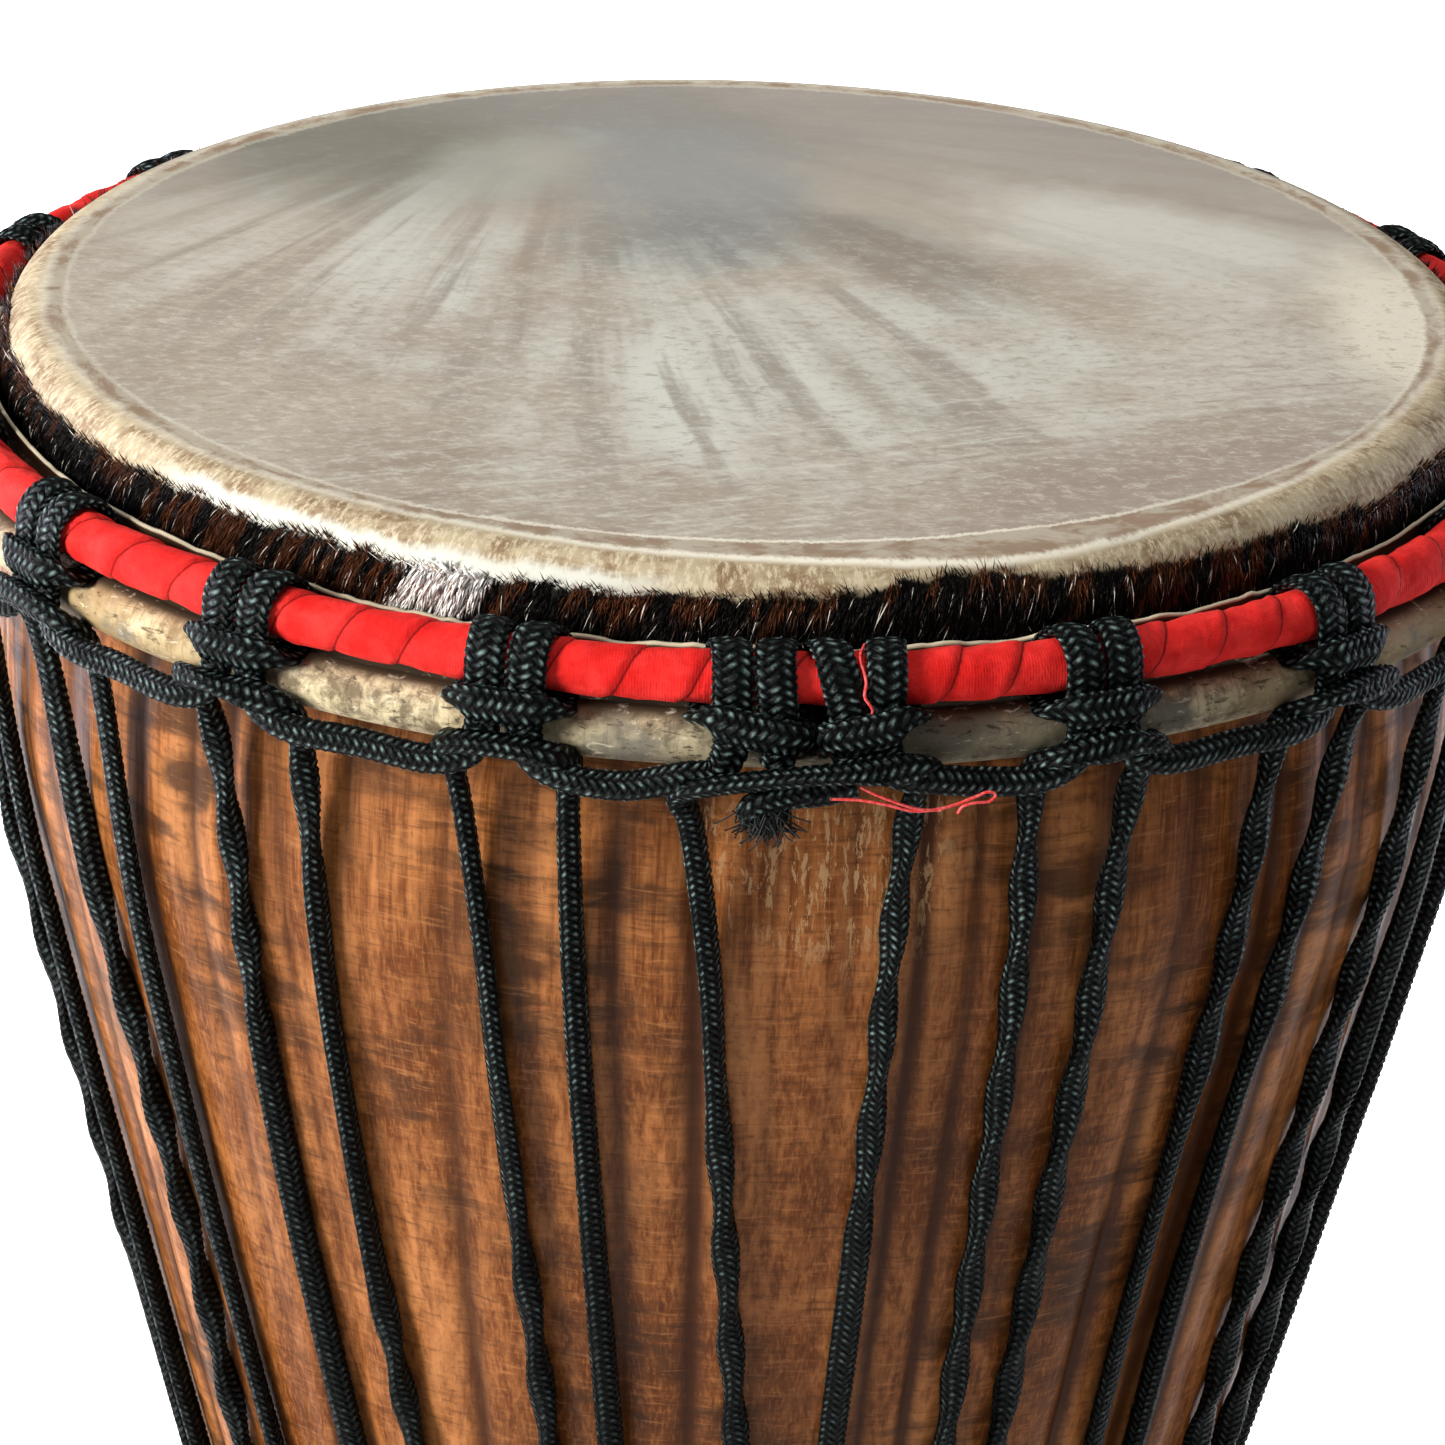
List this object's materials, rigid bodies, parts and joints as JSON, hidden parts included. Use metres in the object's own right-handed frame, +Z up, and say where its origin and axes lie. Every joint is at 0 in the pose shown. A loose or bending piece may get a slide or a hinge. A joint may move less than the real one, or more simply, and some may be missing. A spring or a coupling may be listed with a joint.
{
  "type": "djembe",
  "caption": "Goblet-shaped hand drum: carved hardwood shell, goatskin head, cloth-wound rings and braided black tuning ropes.",
  "frame": {"origin": "middle of the foot on the floor, on the drum's axis", "axes": "+Z up along the drum's axis to the playing surface, -Y towards the front, where the cradle rope's double knot is"},
  "size_m": [0.3737, 0.3752, 0.6],
  "materials": {
    "varnished_hardwood": "satin varnish over stained hardwood, gouge flutes left visible",
    "goatskin": "scraped and shaved on the playing surface, hair left on the skirt, raw where it is turned round the ring",
    "ring_steel": "bare mild steel rod, bent and butt-welded",
    "red_cloth": "plain-weave cotton strip wound in a spiral",
    "black_rope": "braided synthetic cord with a slight sheen"
  },
  "bodies": {
    "root": {"shell": "varnished_hardwood", "drumhead_skin": "goatskin", "flesh_ring": "ring_steel", "crown_ring": "ring_steel", "crown_ring_cloth": "red_cloth", "bottom_ring": "ring_steel", "bottom_ring_cloth": "red_cloth", "top_cradle_rope": "black_rope", "bottom_cradle_rope": "black_rope", "lacing_rope": "black_rope"}
  },
  "joints": []
}
